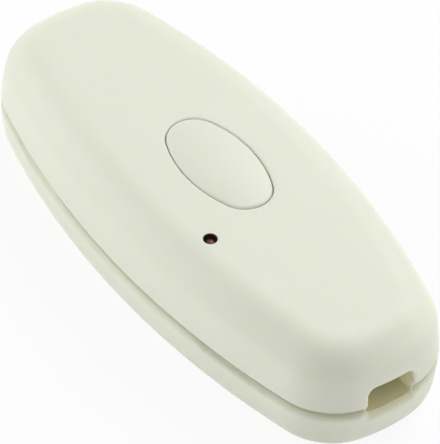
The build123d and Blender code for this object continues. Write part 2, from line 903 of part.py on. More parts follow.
def triac_leads():
    """Three flat legs, out of the body and bent down through the board."""
    low = sink_top + triac_tab_thickness + triac_lead_thickness
    high = low + triac_lead_thickness
    legs = []
    for x, y in triac_lead_places():
        down = block(triac_lead_thickness, triac_lead_width, board_seat - lead_tail, high, x, y)
        out = block(triac_reach, triac_lead_width, low, high, triac_face + triac_reach / 2, y)
        legs.append(down + out)
    return legs


def make_triac_screw():
    seat = sink_top + triac_tab_thickness
    length = seat - board_seat + triac_nut_height
    screw = pan_screw(triac_screw_diameter, length, triac_screw_head, triac_screw_head_height)
    return Pos(tab_hole_x, triac_y, seat) * screw


def make_triac_nut():
    nut = extrude(RegularPolygon(triac_nut_width / 2, 6, major_radius=False), triac_nut_height)
    nut -= rod(triac_screw_diameter + 2 * pilot_clearance, 0, triac_nut_height)
    return Pos(tab_hole_x, triac_y, board_seat - triac_nut_height) * nut


# Screw terminals: a two-pole block at each end of the board, wire ways facing the cord entries

cage_low = board_top + cage_floor
cage_top = cage_low + cage_height
wire_low = cage_low + cage_floor
cage_x = terminal_x + terminal_depth / 2 - cage_depth / 2 - pin_clearance
cage_ys = (terminal_pitch / 2, -terminal_pitch / 2)


def make_terminal_block():
    half, top = terminal_depth / 2, board_top + terminal_height
    profile = make_face(Polyline(
        (-half, board_top),
        (half, board_top),
        (half, top - terminal_bevel),
        (half - terminal_bevel, top),
        (-half, top),
        close=True,
    ))
    body = Pos(terminal_x, 0, 0) * extrude(Plane.XZ * profile, terminal_width / 2, both=True)
    face_x = terminal_x + half
    for y in cage_ys:
        pocket = cage_depth + 2 * pin_clearance
        body -= block(
            pocket, cage_width + 2 * pin_clearance, cage_low, cage_top + pin_clearance,
            face_x - pocket / 2, y,
        )
        well = terminal_screw_head + 2 * pin_clearance
        body -= rod(well, cage_top, top + drill_reach, cage_x, y)
        pin_way = radial_lead_diameter + 2 * lead_clearance
        body -= rod(pin_way, board_top - drill_reach, cage_low + drill_reach, cage_x, y)
    return body


def terminal_cages():
    """Brass wire clamps with their solder pins."""
    cages = []
    for y in cage_ys:
        cage = block(cage_depth, cage_width, cage_low, cage_top, cage_x, y)
        cage -= block(2 * cage_depth, wire_hole, wire_low, wire_low + wire_hole, cage_x, y)
        cage -= rod(terminal_screw_diameter, wire_low, cage_top + drill_reach, cage_x, y)
        cage += rod(radial_lead_diameter, board_seat - lead_tail, cage_low, cage_x, y)
        cages += both_ends(cage)
    return cages


def terminal_screws():
    diameter = terminal_screw_diameter - 2 * pilot_clearance
    length = cage_height - cage_floor - wire_hole
    head = terminal_screw_head_height
    screw = pan_screw(diameter, length, terminal_screw_head, head)
    placed = [Pos(cage_x, y, cage_top) * screw for y in cage_ys]
    return [piece for one in placed for piece in both_ends(one)]


# Circuit board: follows the housing's plan between the clamps, drilled for every lead


def make_circuit_board():
    plan = barrel_outline(board_inset) & Rectangle(2 * board_half, housing_width)
    board = Pos(0, 0, board_seat) * extrude(plan, board_thickness, dir=(0, 0, 1))
    low, high = board_seat - drill_reach, board_top + drill_reach
    drilled = radial_lead_places() + lamp_lead_places() + axial_lead_places()
    for side in (1, -1):
        drilled += [(side * cage_x, y) for y in cage_ys]
        board -= rod(post_diameter + 2 * screw_clearance, low, high, side * post_x, side * post_y)
        for x in (support_x, -support_x):
            board -= rod(pin_diameter + 2 * pin_clearance, low, high, x, side * post_y)
    for x, y in drilled:
        board -= rod(radial_lead_diameter + 2 * lead_clearance, low, high, x, y)
    for x, y in triac_lead_places() + switch_leg_places():
        board -= rod(triac_lead_width + 2 * lead_clearance, low, high, x, y)
    return board - rod(triac_screw_diameter + 2 * screw_clearance, low, high, tab_hole_x, triac_y)


# Every sub-part, by node name


def build_nodes():
    front_clamp, rear_clamp = both_ends(make_cord_clamp())
    front_block, rear_block = both_ends(make_terminal_block())
    return {
        "upper_shell": make_upper_shell(),
        "lower_shell": make_lower_shell(),
        "housing_screws": housing_screws(),
        "cord_clamp_front": front_clamp,
        "cord_clamp_rear": rear_clamp,
        "clamp_screws": clamp_screws(),
        "push_button": make_push_button(),
        "button_spring": make_spring(),
        "switch_body": make_switch_body(),
        "switch_plunger": make_switch_plunger(),
        "switch_legs": switch_legs(),
        "indicator_lamp": make_indicator_lamp(),
        "lamp_spacer": make_lamp_spacer(),
        "circuit_board": make_circuit_board(),
        "output_terminal": front_block,
        "input_terminal": rear_block,
        "terminal_cages": terminal_cages(),
        "terminal_screws": terminal_screws(),
        "heat_sink": make_heat_sink(),
        "triac_tab": make_triac_tab(),
        "triac_body": make_triac_body(),
        "triac_leads": triac_leads(),
        "triac_screw": make_triac_screw(),
        "triac_nut": make_triac_nut(),
        "choke_core": make_choke_core(),
        "choke_winding": make_choke_winding(),
        "film_capacitor": make_film_capacitor(),
        "varistor": make_varistor(),
        "can_capacitor": make_can_capacitor(),
        "radial_leads": radial_leads(),
        "control_chip": make_chip(),
        "chip_legs": chip_legs(),
        "resistors": [Pos(x, resistor_y, 0) * make_resistor() for x in resistor_xs],
        "diodes": [Pos(x, diode_y, 0) * make_diode() for x in diode_xs],
        "fuse": Pos(fuse_x, fuse_y, 0) * make_fuse(),
        "axial_leads": [
            place * wire
            for place, diameter, length in axial_parts
            for wire in axial_leads(diameter, length)
        ],
    }


os.makedirs("parts", exist_ok=True)
for node, shape in build_nodes().items():
    solids = shape if isinstance(shape, list) else [shape]
    export_step(Compound([solid for piece in solids for solid in piece.solids()]), f"parts/{node}.step")
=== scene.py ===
import json
import math

import bmesh
import bpy
from mathutils import Matrix, Vector


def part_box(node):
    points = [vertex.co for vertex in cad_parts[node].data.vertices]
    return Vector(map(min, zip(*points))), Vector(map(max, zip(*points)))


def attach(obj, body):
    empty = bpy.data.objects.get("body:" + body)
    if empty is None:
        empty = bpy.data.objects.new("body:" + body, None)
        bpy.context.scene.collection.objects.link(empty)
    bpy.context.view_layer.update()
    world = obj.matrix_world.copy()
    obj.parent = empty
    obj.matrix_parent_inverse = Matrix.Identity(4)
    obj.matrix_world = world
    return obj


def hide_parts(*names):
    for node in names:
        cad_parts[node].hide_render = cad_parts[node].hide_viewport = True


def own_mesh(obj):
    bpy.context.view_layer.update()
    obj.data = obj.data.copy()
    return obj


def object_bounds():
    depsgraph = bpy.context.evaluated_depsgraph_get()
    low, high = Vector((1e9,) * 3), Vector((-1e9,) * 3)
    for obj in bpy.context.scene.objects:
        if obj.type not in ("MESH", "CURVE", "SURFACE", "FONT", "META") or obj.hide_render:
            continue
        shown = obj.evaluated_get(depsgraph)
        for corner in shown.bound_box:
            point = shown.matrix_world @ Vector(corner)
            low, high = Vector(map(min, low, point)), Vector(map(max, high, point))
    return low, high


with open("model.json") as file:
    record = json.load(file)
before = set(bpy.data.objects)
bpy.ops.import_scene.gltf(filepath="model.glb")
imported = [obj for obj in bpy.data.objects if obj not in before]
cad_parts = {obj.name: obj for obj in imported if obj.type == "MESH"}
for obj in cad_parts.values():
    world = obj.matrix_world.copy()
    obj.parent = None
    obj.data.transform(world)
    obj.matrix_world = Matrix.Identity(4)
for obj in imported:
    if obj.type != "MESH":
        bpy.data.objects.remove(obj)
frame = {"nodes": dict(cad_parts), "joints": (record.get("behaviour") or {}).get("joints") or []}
cad_low, cad_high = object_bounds()
nodes = frame["nodes"]


# Viewpoint: a long lens looks down over the near right corner of the dimmer, so that its
# long sides run nearly parallel. Angles in degrees, lengths in metres.

view_azimuth = math.radians(52.33)
view_elevation = math.radians(44.74)
view_roll = math.radians(3.19)
view_distance = 1.1129
view_lens = 539.68
aim_height = 0.010
aim_right = 0.00065
aim_up = -0.00046

level = math.cos(view_elevation)
back = Vector((
    math.sin(view_azimuth) * level,
    -math.cos(view_azimuth) * level,
    math.sin(view_elevation),
))
flat_right = Vector((math.cos(view_azimuth), math.sin(view_azimuth), 0))
flat_up = back.cross(flat_right)
view_right = math.cos(view_roll) * flat_right + math.sin(view_roll) * flat_up
view_up = back.cross(view_right)
centre = Vector((0, 0, aim_height))
eye = centre + back * view_distance
aim = centre + aim_right * view_right + aim_up * view_up
look_back = (eye - aim).normalized()
look_right = view_up.cross(look_back).normalized()
look_up = look_back.cross(look_right)

camera_data = bpy.data.cameras.new("camera")
camera_data.lens = view_lens
camera_data.clip_start = 0.1
camera_data.clip_end = 10
camera = bpy.data.objects.new("camera", camera_data)
bpy.context.scene.collection.objects.link(camera)
camera.matrix_world = Matrix((
    (look_right.x, look_up.x, look_back.x, eye.x),
    (look_right.y, look_up.y, look_back.y, eye.y),
    (look_right.z, look_up.z, look_back.z, eye.z),
    (0, 0, 0, 1),
))
bpy.context.scene.camera = camera
bpy.context.scene.view_settings.view_transform = "Standard"


# Table and light: a white table inside a ring of four soft boxes. The strongest hangs over
# the far long side, the others stand low, and the table throws their light up the walls.


class Wire:
    """One output of a node, in a material or in a geometry tree. Arithmetic on it adds the Math
    nodes that work it out."""

    def __init__(self, tree, socket=None):
        self.tree = tree
        self.socket = socket

    def add(self, kind, settings=None, sockets=None, output=0):
        """Adds a node, sets it, feeds its sockets with values or wires, and returns one output."""
        node = self.tree.nodes.new(kind)
        for name, value in (settings or {}).items():
            setattr(node, name, value)
        for key, value in (sockets or {}).items():
            if isinstance(value, Wire):
                self.tree.links.new(value.socket, node.inputs[key])
            else:
                node.inputs[key].default_value = value
        return Wire(self.tree, node.outputs[output] if node.outputs else None)

    def other(self, output):
        """Another output of the same node."""
        return Wire(self.tree, self.socket.node.outputs[output])

    def maths(self, operation, first, second):
        """A Math node on two numbers or wires."""
        return self.add("ShaderNodeMath", {"operation": operation}, {0: first, 1: second})

    def __add__(self, other):
        return self.maths("ADD", self, other)

    def __radd__(self, other):
        return self.maths("ADD", other, self)

    def __sub__(self, other):
        return self.maths("SUBTRACT", self, other)

    def __rsub__(self, other):
        return self.maths("SUBTRACT", other, self)

    def __mul__(self, other):
        return self.maths("MULTIPLY", self, other)

    def __rmul__(self, other):
        return self.maths("MULTIPLY", other, self)

    def __truediv__(self, other):
        return self.maths("DIVIDE", self, other)

    def __pow__(self, other):
        return self.maths("POWER", self, other)


def bare_material(name):
    """An empty material, and a wire to start its nodes from."""
    material = bpy.data.materials.new(name)
    material.use_nodes = True
    tree = material.node_tree
    tree.nodes.clear()
    return material, Wire(tree)


table_size = 1.6
table_colour = (0.93, 0.93, 0.93, 1)
table_glow = 0.9
white = (1, 1, 1, 1)

table_material, start = bare_material("white_table")
rays = start.add("ShaderNodeLightPath")
direct = rays.maths("MAXIMUM", rays, rays.other("Is Glossy Ray"))
matt = start.add("ShaderNodeBsdfDiffuse", sockets={"Color": table_colour})
glow = start.add("ShaderNodeEmission", sockets={"Color": white, "Strength": 1.0})
shown = start.add("ShaderNodeMixShader", sockets={"Fac": direct * table_glow, 1: matt, 2: glow})
start.add("ShaderNodeOutputMaterial", sockets={"Surface": shown})

table_mesh = bpy.data.meshes.new("table")
half_table = table_size / 2
table_corners = [
    (x * half_table, y * half_table, cad_low.z)
    for x, y in ((-1, -1), (1, -1), (1, 1), (-1, 1))
]
table_mesh.from_pydata(table_corners, [], [(0, 1, 2, 3)])
table_mesh.materials.append(table_material)
table = bpy.data.objects.new("table", table_mesh)
bpy.context.scene.collection.objects.link(table)

# The room is white to the camera, in reflections and through clear pieces. It lights nothing.
world = bpy.data.worlds.new("studio")
world.use_nodes = True
world.node_tree.nodes.clear()
air = Wire(world.node_tree)
rays = air.add("ShaderNodeLightPath")
seen = rays.maths("MAXIMUM", rays, rays.other("Is Glossy Ray"))
seen = seen.maths("MAXIMUM", seen, rays.other("Is Transmission Ray"))
room = air.add("ShaderNodeBackground", sockets={"Color": white, "Strength": seen})
air.add("ShaderNodeOutputWorld", sockets={"Surface": room})
bpy.context.scene.world = world

box_distance = 1.2
box_size = 1.0


def soft_box(name, azimuth, elevation, watts):
    """A square lamp that faces the dimmer from that azimuth round Z and elevation, in degrees."""
    lamp = bpy.data.lights.new(name, "AREA")
    lamp.size = box_size
    lamp.energy = watts
    box = bpy.data.objects.new(name, lamp)
    turn = math.radians(azimuth)
    tilt = math.radians(elevation)
    outwards = Vector((math.cos(turn), math.sin(turn), 0))
    towards = outwards * math.cos(tilt) + Vector((0, 0, math.sin(tilt)))
    box.location = towards * box_distance
    box.rotation_euler = towards.to_track_quat("Z", "Y").to_euler()
    bpy.context.scene.collection.objects.link(box)


soft_box("back_box", azimuth=105, elevation=50, watts=13.0)
soft_box("left_box", azimuth=225, elevation=20, watts=11.2)
soft_box("right_box", azimuth=45, elevation=12, watts=6.6)
soft_box("front_box", azimuth=310, elevation=12, watts=5.3)


# Housing shells: two injection moulded halves in greenish ivory plastic with a fine eroded
# grain. The upper half stands on the lower one over a shadow groove. Painted shade darkens
# the groove, the sills of the cord entries and the pinhole's wall, and a painted warm light
# brightens the walls of the entries.

plastic_colour = (0.79, 0.805, 0.695)
plastic_shade = (0.75, 0.765, 0.645)
plastic_roughness = 0.5
plastic_specular = 0.45
plastic_body = 0.5
roughness_spread = 0.12
light_reach = 0.002
light_reach_by_colour = (1.0, 0.9, 0.55)
grain_size = 0.00022
grain_depth = 0.000012
flow_size = 0.03
flow_share = 0.7


def blend(start, share, first, second):
    """A colour that goes from first to second as the share goes from 0 to 1."""
    sockets = {"Factor": share, 6: first, 7: second}
    return start.add("ShaderNodeMix", {"data_type": "RGBA"}, sockets, 2)


def finish(name, **constants):
    """A material whose constants sit on its shader's own sockets, with its coordinates and its shader."""
    material, start = bare_material(name)
    shader = start.add("ShaderNodeBsdfPrincipled", sockets=constants).socket.node
    place = start.add("ShaderNodeTexCoord", output=3)
    surface = Wire(start.tree, shader.outputs[0])
    start.add("ShaderNodeOutputMaterial", sockets={"Surface": surface})
    return material, place, shader


def feed(shader, **wires):
    """Feeds sockets of the shader, named with underscores for spaces."""
    for name, wire in wires.items():
        wire.tree.links.new(wire.socket, shader.inputs[name.replace("_", " ")])


def noise(place, size, detail=2.0, roughness=0.5):
    """Even noise between 0 and 1 with features of about that size."""
    sockets = {"Vector": place, "Scale": 1 / size, "Detail": detail, "Roughness": roughness}
    return place.add("ShaderNodeTexNoise", sockets=sockets)


def relief(height, depth):
    """A surface normal disturbed by height, which runs from 0 to 1 over that depth."""
    return height.add("ShaderNodeBump", sockets={"Strength": 1.0, "Distance": depth, "Height": height})


def wear(node, material):
    """Gives a CAD node one material all over."""
    mesh = nodes[node].data
    mesh.materials.clear()
    mesh.materials.append(material)


def moulded_plastic(name, colour, shade, roughness, grain, depth, body=0.0, tone=None):
    """Plastic with the fine grain of an eroded mould, a faint flow of pigment and light in its body.
    A function for its tone may change the colour from place to place, as the shells' painted light and
    shade do."""
    material, place, shader = finish(name, **{
        "Specular IOR Level": plastic_specular,
        "Subsurface Weight": body,
        "Subsurface Radius": light_reach_by_colour,
        "Subsurface Scale": light_reach,
    })
    flow = noise(place, flow_size, detail=3.0)
    speckle = noise(place, grain, detail=1.0)
    mottle = flow * flow_share + speckle * (1 - flow_share)
    pigment = blend(place, mottle, (*shade, 1), (*colour, 1))
    feed(
        shader,
        Base_Color=tone(place, pigment) if tone else pigment,
        Roughness=speckle * roughness_spread + (roughness - roughness_spread / 2),
        Normal=relief(speckle, depth),
    )
    return material


def step(value, edge, softness):
    """Rises from 0 to 1 as the value passes the edge."""
    return value.add("ShaderNodeMapRange", sockets={
        "Value": value, "From Min": edge - softness, "From Max": edge + softness,
    })


def size_of(value):
    """The value without its sign."""
    return value.maths("ABSOLUTE", value, 0)


# Painted shade: the lower shell turns darker from this height up, in and beside the groove.
groove_edge = 0.0086
groove_softness = 0.0004
groove_painted_shade = (0.65, 0.66, 0.535, 1)

# Painted warm light: the walls of both cord entries take a brighter, warmer colour.
entry_half_width = 0.0047
entry_low = 0.0078
entry_top = 0.0142
entry_inner_end = 0.036
entry_outer_end = 0.0489
entry_end_softness = 0.0006
entry_softness = 0.0001
entry_painted_warm_light = (0.90, 0.87, 0.57, 1)

# Painted shade on the sills under both cord entries.
sill_low = 0.0073
sill_outer_end = 0.0499
sill_softness = 0.0005
sill_painted_shade = (0.65, 0.635, 0.50, 1)

# Painted shade: the wall of the lamp's pinhole is painted nearly black.
lamp_low, lamp_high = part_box("indicator_lamp")
lamp_middle = (lamp_low + lamp_high) / 2
lamp_hole_reach = 0.00124
lamp_hole_softness = 0.00003
lamp_hole_painted_shade = (0.025, 0.010, 0.008, 1)


def between(value, low, high, softness):
    """1 while the value lies between two edges."""
    return step(value, low, softness) * (1 - step(value, high, softness))


def entry_share(axes, low, outer_end, softness):
    """1 on the walls of both cord entries, above low and inside outer_end from the middle."""
    inside = between(size_of(axes), entry_inner_end, outer_end, entry_end_softness)
    inside = inside * (1 - step(size_of(axes.other("Y")), entry_half_width, softness))
    return inside * between(axes.other("Z"), low, entry_top, softness)


def lower_painted_shade_and_light(place, pigment):
    """Painted shade in the groove and on the entries' sills, and painted warm light on the entries'
    walls.
    """
    axes = place.add("ShaderNodeSeparateXYZ", sockets={0: place})
    groove = step(axes.other("Z"), groove_edge, groove_softness)
    sill = entry_share(axes, sill_low, sill_outer_end, sill_softness)
    entry = entry_share(axes, entry_low, entry_outer_end, entry_softness)
    shaded = blend(place, groove, pigment, groove_painted_shade)
    shaded = blend(place, sill, shaded, sill_painted_shade)
    return blend(place, entry, shaded, entry_painted_warm_light)


def upper_painted_shade_and_light(place, pigment):
    """Painted warm light on the walls of the cord entries, and painted shade on the pinhole's wall."""
    axes = place.add("ShaderNodeSeparateXYZ", sockets={0: place})
    aside = axes - lamp_middle.x
    across = axes.other("Y") - lamp_middle.y
    reach = (aside * aside + across * across) ** 0.5
    outside_hole = step(reach, lamp_hole_reach, lamp_hole_softness)
    entry = entry_share(axes, entry_low, entry_outer_end, entry_softness)
    shaded = blend(place, entry, pigment, entry_painted_warm_light)
    return blend(place, outside_hole, lamp_hole_painted_shade, shaded)


for shell, tone in (("upper_shell", upper_painted_shade_and_light), ("lower_shell", lower_painted_shade_and_light)):
    wear(shell, moulded_plastic(
        shell + "_plastic", plastic_colour, plastic_shade, plastic_roughness,
        grain_size, grain_depth, plastic_body, tone,
    ))


# Push button: moulded in the same plastic from a more finely polished tool. It floats in
# its opening on the return spring, held up by a flange under the rim of the opening.

button_colour = (0.755, 0.775, 0.67)
button_roughness = 0.44
button_grain_size = 0.000176
button_grain_depth = 0.0000072
wear("push_button", moulded_plastic(
    "button_plastic", button_colour, plastic_shade, button_roughness,
    button_grain_size, button_grain_depth, plastic_body,
))


# Pilot lamp: a red tinted diode lamp behind a pinhole, dark while it is off. A black nylon
# tube holds it at its height over the board, and its two wires run down inside the tube.

lens, place, shader = finish("red_lens", **{"Transmission Weight": 0.2, "IOR": 1.45})
tint = noise(place, size=0.001)
lens_shade = (0.07, 0.008, 0.006, 1)
lens_colour = (0.13, 0.018, 0.012, 1)
lens_spread = 0.08
lens_roughness = 0.36
feed(
    shader,
    Base_Color=blend(place, tint, lens_shade, lens_colour),
    Roughness=tint * lens_spread + lens_roughness,
)
wear("indicator_lamp", lens)

black_colour = (0.045, 0.045, 0.05)
black_shade = (0.028, 0.028, 0.031)
wear("lamp_spacer", moulded_plastic(
    "black_nylon", black_colour, black_shade, roughness=0.55, grain=0.0003, depth=0.000008,
))


# Return spring: four and a half turns of hard drawn steel wire round the button's stem.
# Drawing leaves fine lines and a straw tinge on the wire.

cloud_width = 12
cloud_share = 0.6
scratch_flatness = 60
scratch_spread = 0.16
cloud_spread = 0.1


def streaked_metal(name, colour, dull, roughness, lay, grain):
    """Bare metal: cloudy patches, and scratches of the grain's width that are long along each
    axis whose part in its lay is small."""
    material, place, shader = finish(name, Metallic=1.0)
    worked = place.add("ShaderNodeVectorMath", {"operation": "MULTIPLY"}, {0: place, 1: lay})
    scratches = noise(worked, grain, detail=3.0, roughness=0.6)
    clouds = noise(place, grain * cloud_width)
    share = clouds * cloud_share + scratches * (1 - cloud_share)
    mean_spread = (scratch_spread + cloud_spread) / 2
    feed(
        shader,
        Base_Color=blend(place, share, (*dull, 1), (*colour, 1)),
        Roughness=scratches * scratch_spread + clouds * cloud_spread + (roughness - mean_spread),
        Normal=relief(scratches, grain / scratch_flatness),
    )
    return material


def new_tree(name, *sizes):
    """A geometry node tree with an input for its places, each of its sizes and its finish."""
    tree = bpy.data.node_groups.new(name, "GeometryNodeTree")
    tree.interface.new_socket("Geometry", in_out="OUTPUT", socket_type="NodeSocketGeometry")
    tree.interface.new_socket("Places", in_out="INPUT", socket_type="NodeSocketGeometry")
    for size in sizes:
        tree.interface.new_socket(size, in_out="INPUT", socket_type="NodeSocketFloat")
    tree.interface.new_socket("Finish", in_out="INPUT", socket_type="NodeSocketMaterial")
    return tree, Wire(tree).add("NodeGroupInput")


def close_tree(inputs, shape):
    """Sets the shape on every place, makes it real and gives it its finish."""
    spread = shape.add("GeometryNodeInstanceOnPoints", sockets={
        "Points": inputs.other("Places"), "Instance": shape,
    })
    real = spread.add("GeometryNodeRealizeInstances", sockets={0: spread})
    dressed = real.add("GeometryNodeSetMaterial", sockets={
        "Geometry": real, "Material": inputs.other("Finish"),
    })
    dressed.add("NodeGroupOutput", sockets={0: dressed})


def grow(name, tree, places, finish_slot, **sizes):
    """Runs a tree over the places and keeps the result as a plain mesh, fixed in the housing."""
    mesh = bpy.data.meshes.new(name)
    mesh.from_pydata(places, [], [])
    piece = bpy.data.objects.new(name, mesh)
    bpy.context.scene.collection.objects.link(piece)
    modifier = piece.modifiers.new("growth", "NODES")
    modifier.node_group = tree
    for item in tree.interface.items_tree:
        key = item.name.replace(" ", "_")
        if item.in_out == "INPUT" and key in sizes:
            modifier[item.identifier] = sizes[key]
    evaluated = piece.evaluated_get(bpy.context.evaluated_depsgraph_get())
    piece.data = bpy.data.meshes.new_from_object(evaluated)
    piece.modifiers.clear()
    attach(piece, "housing")
    return piece


def helix(sizes, steps):
    """A rising helix from the inputs Radius, Length and Pitch, and its number of turns."""
    turns = sizes.other("Length") / sizes.other("Pitch")
    coil = sizes.add("GeometryNodeCurveSpiral", sockets={
        "Resolution": steps,
        "Rotations": turns,
        "Start Radius": sizes.other("Radius"),
        "End Radius": sizes.other("Radius"),
        "Height": sizes.other("Length"),
    })
    return coil.add("GeometryNodeSetCurveNormal", {"mode": "Z_UP"}, {"Curve": coil}), turns


def swept(coil, sides, radius):
    """A closed bar of that many sides along a curve."""
    section = coil.add("GeometryNodeCurvePrimitiveCircle", sockets={
        "Resolution": sides, "Radius": radius,
    })
    return coil.add("GeometryNodeCurveToMesh", sockets={
        "Curve": coil, "Profile Curve": section, "Fill Caps": True,
    })


spring_steps = 40
spring_sides = 14
spring_turns = 4.5
spring_wire = 0.00045
spring_low, spring_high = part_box("button_spring")

spring_steel = streaked_metal(
    "spring_steel", colour=(0.62, 0.61, 0.58), dull=(0.48, 0.45, 0.40),
    roughness=0.28, lay=(1, 1, 5), grain=0.00015,
)
spring_tree, sizes = new_tree("coil_spring", "Radius", "Pitch", "Length", "Wire")
coil, turns = helix(sizes, spring_steps)
close_tree(sizes, swept(coil, spring_sides, sizes.other("Wire") / 2))

coil_length = spring_high.z - spring_low.z - spring_wire
spring = grow(
    "return_spring", spring_tree, [(0, 0, spring_low.z + spring_wire / 2)], "spring_steel",
    Radius=(spring_high.x - spring_low.x - spring_wire) / 2,
    Pitch=coil_length / spring_turns, Length=coil_length, Wire=spring_wire, Finish=spring_steel,
)
for face in spring.data.polygons:
    face.use_smooth = True
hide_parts("button_spring")
press = next(joint for joint in frame["joints"] if joint["name"] == "button_press")
kept_share = 1 - press["range_m"][1] / (spring_high.z - spring_low.z)
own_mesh(spring)


# Push switch: a low square tact switch with a black nylon body and four tinned legs. Its
# white plunger stands under the button's stem and goes down with it.

wear("switch_body", moulded_plastic(
    "switch_nylon", black_colour, black_shade, roughness=0.42, grain=0.00025, depth=0.000006,
))
wear("switch_plunger", moulded_plastic(
    "plunger_nylon", colour=(0.80, 0.80, 0.77), shade=(0.72, 0.72, 0.68),
    roughness=0.4, grain=0.0002, depth=0.000004, body=0.3,
))
tinned_metal = streaked_metal(
    "tinned_metal", colour=(0.76, 0.76, 0.74), dull=(0.60, 0.60, 0.58),
    roughness=0.3, lay=(1, 1, 0.3), grain=0.0002,
)
wear("switch_legs", tinned_metal)


# Screws: zinc plated steel, two long ones up through the base, two short ones down through
# each cord clamp. Their threads are rolled, so they stand a little proud of the shank.

zinc_steel = streaked_metal(
    "zinc_steel", colour=(0.74, 0.74, 0.72), dull=(0.56, 0.57, 0.57),
    roughness=0.34, lay=(1, 1, 1), grain=0.00025,
)
for screws in ("housing_screws", "clamp_screws"):
    wear(screws, zinc_steel)

thread_steps = 20
thread_sides = 4
thread_ridge = 0.12

thread_tree, sizes = new_tree("screw_thread", "Radius", "Pitch", "Length", "Ridge")
coil, turns = helix(sizes, thread_steps)
along = coil.add("GeometryNodeSplineParameter")
run_in = along.maths("MINIMUM", along, 1 - along) * turns
coil = coil.add("GeometryNodeSetCurveRadius", sockets={
    "Curve": coil, "Radius": run_in.maths("MINIMUM", run_in, 1.0),
})
close_tree(sizes, swept(coil, thread_sides, sizes.other("Ridge")))


merge_distance = 0.000001


def islands(node):
    """The separate solids of a CAD node, each as a list of its corners."""
    merged = bmesh.new()
    merged.from_mesh(nodes[node].data)
    bmesh.ops.remove_doubles(merged, verts=merged.verts, dist=merge_distance)
    known = set()
    found = []
    for first in merged.verts:
        if first in known:
            continue
        known.add(first)
        reached = [first]
        corners = []
        while reached:
            corner = reached.pop()
            corners.append(corner.co.copy())
            for edge in corner.link_edges:
                nearby = edge.other_vert(corner)
                if nearby not in known:
                    known.add(nearby)
                    reached.append(nearby)
        found.append(corners)
    merged.free()
    return found


def axis_places(node, height):
    """A point at that height on the upright axis of each solid of a node."""
    places = []
    for corners in islands(node):
        xs = [corner.x for corner in corners]
        ys = [corner.y for corner in corners]
        places.append(((min(xs) + max(xs)) / 2, (min(ys) + max(ys)) / 2, height))
    return places


def thread(node, radius, pitch, length, start):
    """The thread of every screw in a node, from the height start upwards."""
    grow(
        node + "_thread", thread_tree, axis_places(node, start), "zinc_steel",
        Radius=radius, Pitch=pitch, Length=length, Ridge=radius * thread_ridge, Finish=zinc_steel,
    )


housing_screw_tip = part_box("housing_screws")[1].z
housing_thread_reach = 0.0094
thread(
    "housing_screws", radius=0.0013, pitch=0.0009, length=0.0085,
    start=housing_screw_tip - housing_thread_reach,
)
clamp_screw_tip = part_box("clamp_screws")[0].z
clamp_screw_point = 0.0006
thread(
    "clamp_screws", radius=0.0010, pitch=0.0008, length=0.0052,
    start=clamp_screw_tip + clamp_screw_point,
)


# Cord clamps: nylon bars with grip ribs, pulled down on the cord by their two screws. They
# are moulded in the pale natural colour of the nylon, which lets a little light through.

clamp_nylon = moulded_plastic(
    "clamp_nylon", colour=(0.76, 0.77, 0.68), shade=(0.69, 0.70, 0.60),
    roughness=0.45, grain=0.0003, depth=0.000006, body=0.3,
)
for clamp in ("cord_clamp_front", "cord_clamp_rear"):
    wear(clamp, clamp_nylon)


# Circuit board: woven glass in epoxy, 1.6 mm thick, under green solder resist. The copper
# tracks lift the resist a little and lighten it, and the sawn edge shows the bare laminate.

resist_colour = (0.045, 0.20, 0.075, 1)
track_colour = (0.075, 0.30, 0.11, 1)
laminate_colour = (0.55, 0.52, 0.30, 1)
weave_pitch = 0.0008
weave_share = 0.3
track_pitch = 0.0035
track_disorder = 0.55
track_half_width = 0.42
track_softness = 0.03
resist_roughness = 0.28
laminate_roughness = 0.68
board_relief = 0.00004
board_skin = 0.00006
board_low, board_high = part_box("circuit_board")


def bars(place, direction, pitch):
    """Parallel bands across X or Y, one for each pitch: at scale 1 they are pi / 10 apart."""
    settings = {"wave_type": "BANDS", "bands_direction": direction}
    sockets = {"Vector": place, "Scale": math.pi / 10 / pitch}
    return place.add("ShaderNodeTexWave", settings, sockets, 1)


laminate, place, shader = finish("board_laminate", **{"Specular IOR Level": 0.5, "Coat Weight": 0.25})
axes = place.add("ShaderNodeSeparateXYZ", sockets={0: place})
height = axes.other("Z")
skin = step(height, board_high.z - board_skin, board_skin / 2)
skin = skin.maths("MAXIMUM", skin, 1 - step(height, board_low.z + board_skin, board_skin / 2))
plan = place.add("ShaderNodeTexVoronoi", {"distance": "CHEBYCHEV", "feature": "F1"}, {
    "Vector": place, "Scale": 1 / track_pitch, "Randomness": track_disorder,
})
tracks = 1 - step(plan, track_half_width, track_softness)
weave = bars(place, "X", weave_pitch) * bars(place, "Y", weave_pitch)
resist = blend(place, tracks, resist_colour, track_colour)
grime = noise(place, size=0.006, detail=3.0)
bare = (1 - skin) * (laminate_roughness - resist_roughness)
feed(
    shader,
    Base_Color=blend(place, skin, laminate_colour, resist),
    Roughness=grime * roughness_spread + resist_roughness + bare,
    Normal=relief(tracks * skin * (1 - weave_share) + weave * weave_share, board_relief),
)
wear("circuit_board", laminate)


# Solder joints: a bright concave fillet of solder round each wire end and pin that comes
# through the underside of the board.

solder_shade = (0.58, 0.58, 0.57, 1)
solder_colour = (0.76, 0.76, 0.75, 1)
solder_spread = 0.15
solder_roughness = 0.16
fillet_radius = 0.0009
fillet_tip = 0.00032
fillet_height = 0.0008
fillet_sides = 20
fillet_rings = 5
fillet_hollow = 0.9

solder, place, shader = finish("solder", Metallic=1.0)
flow = noise(place, size=0.0006)
feed(
    shader,
    Base_Color=blend(place, flow, solder_shade, solder_colour),
    Roughness=flow * solder_spread + solder_roughness,
    Normal=relief(flow, depth=0.00002),
)

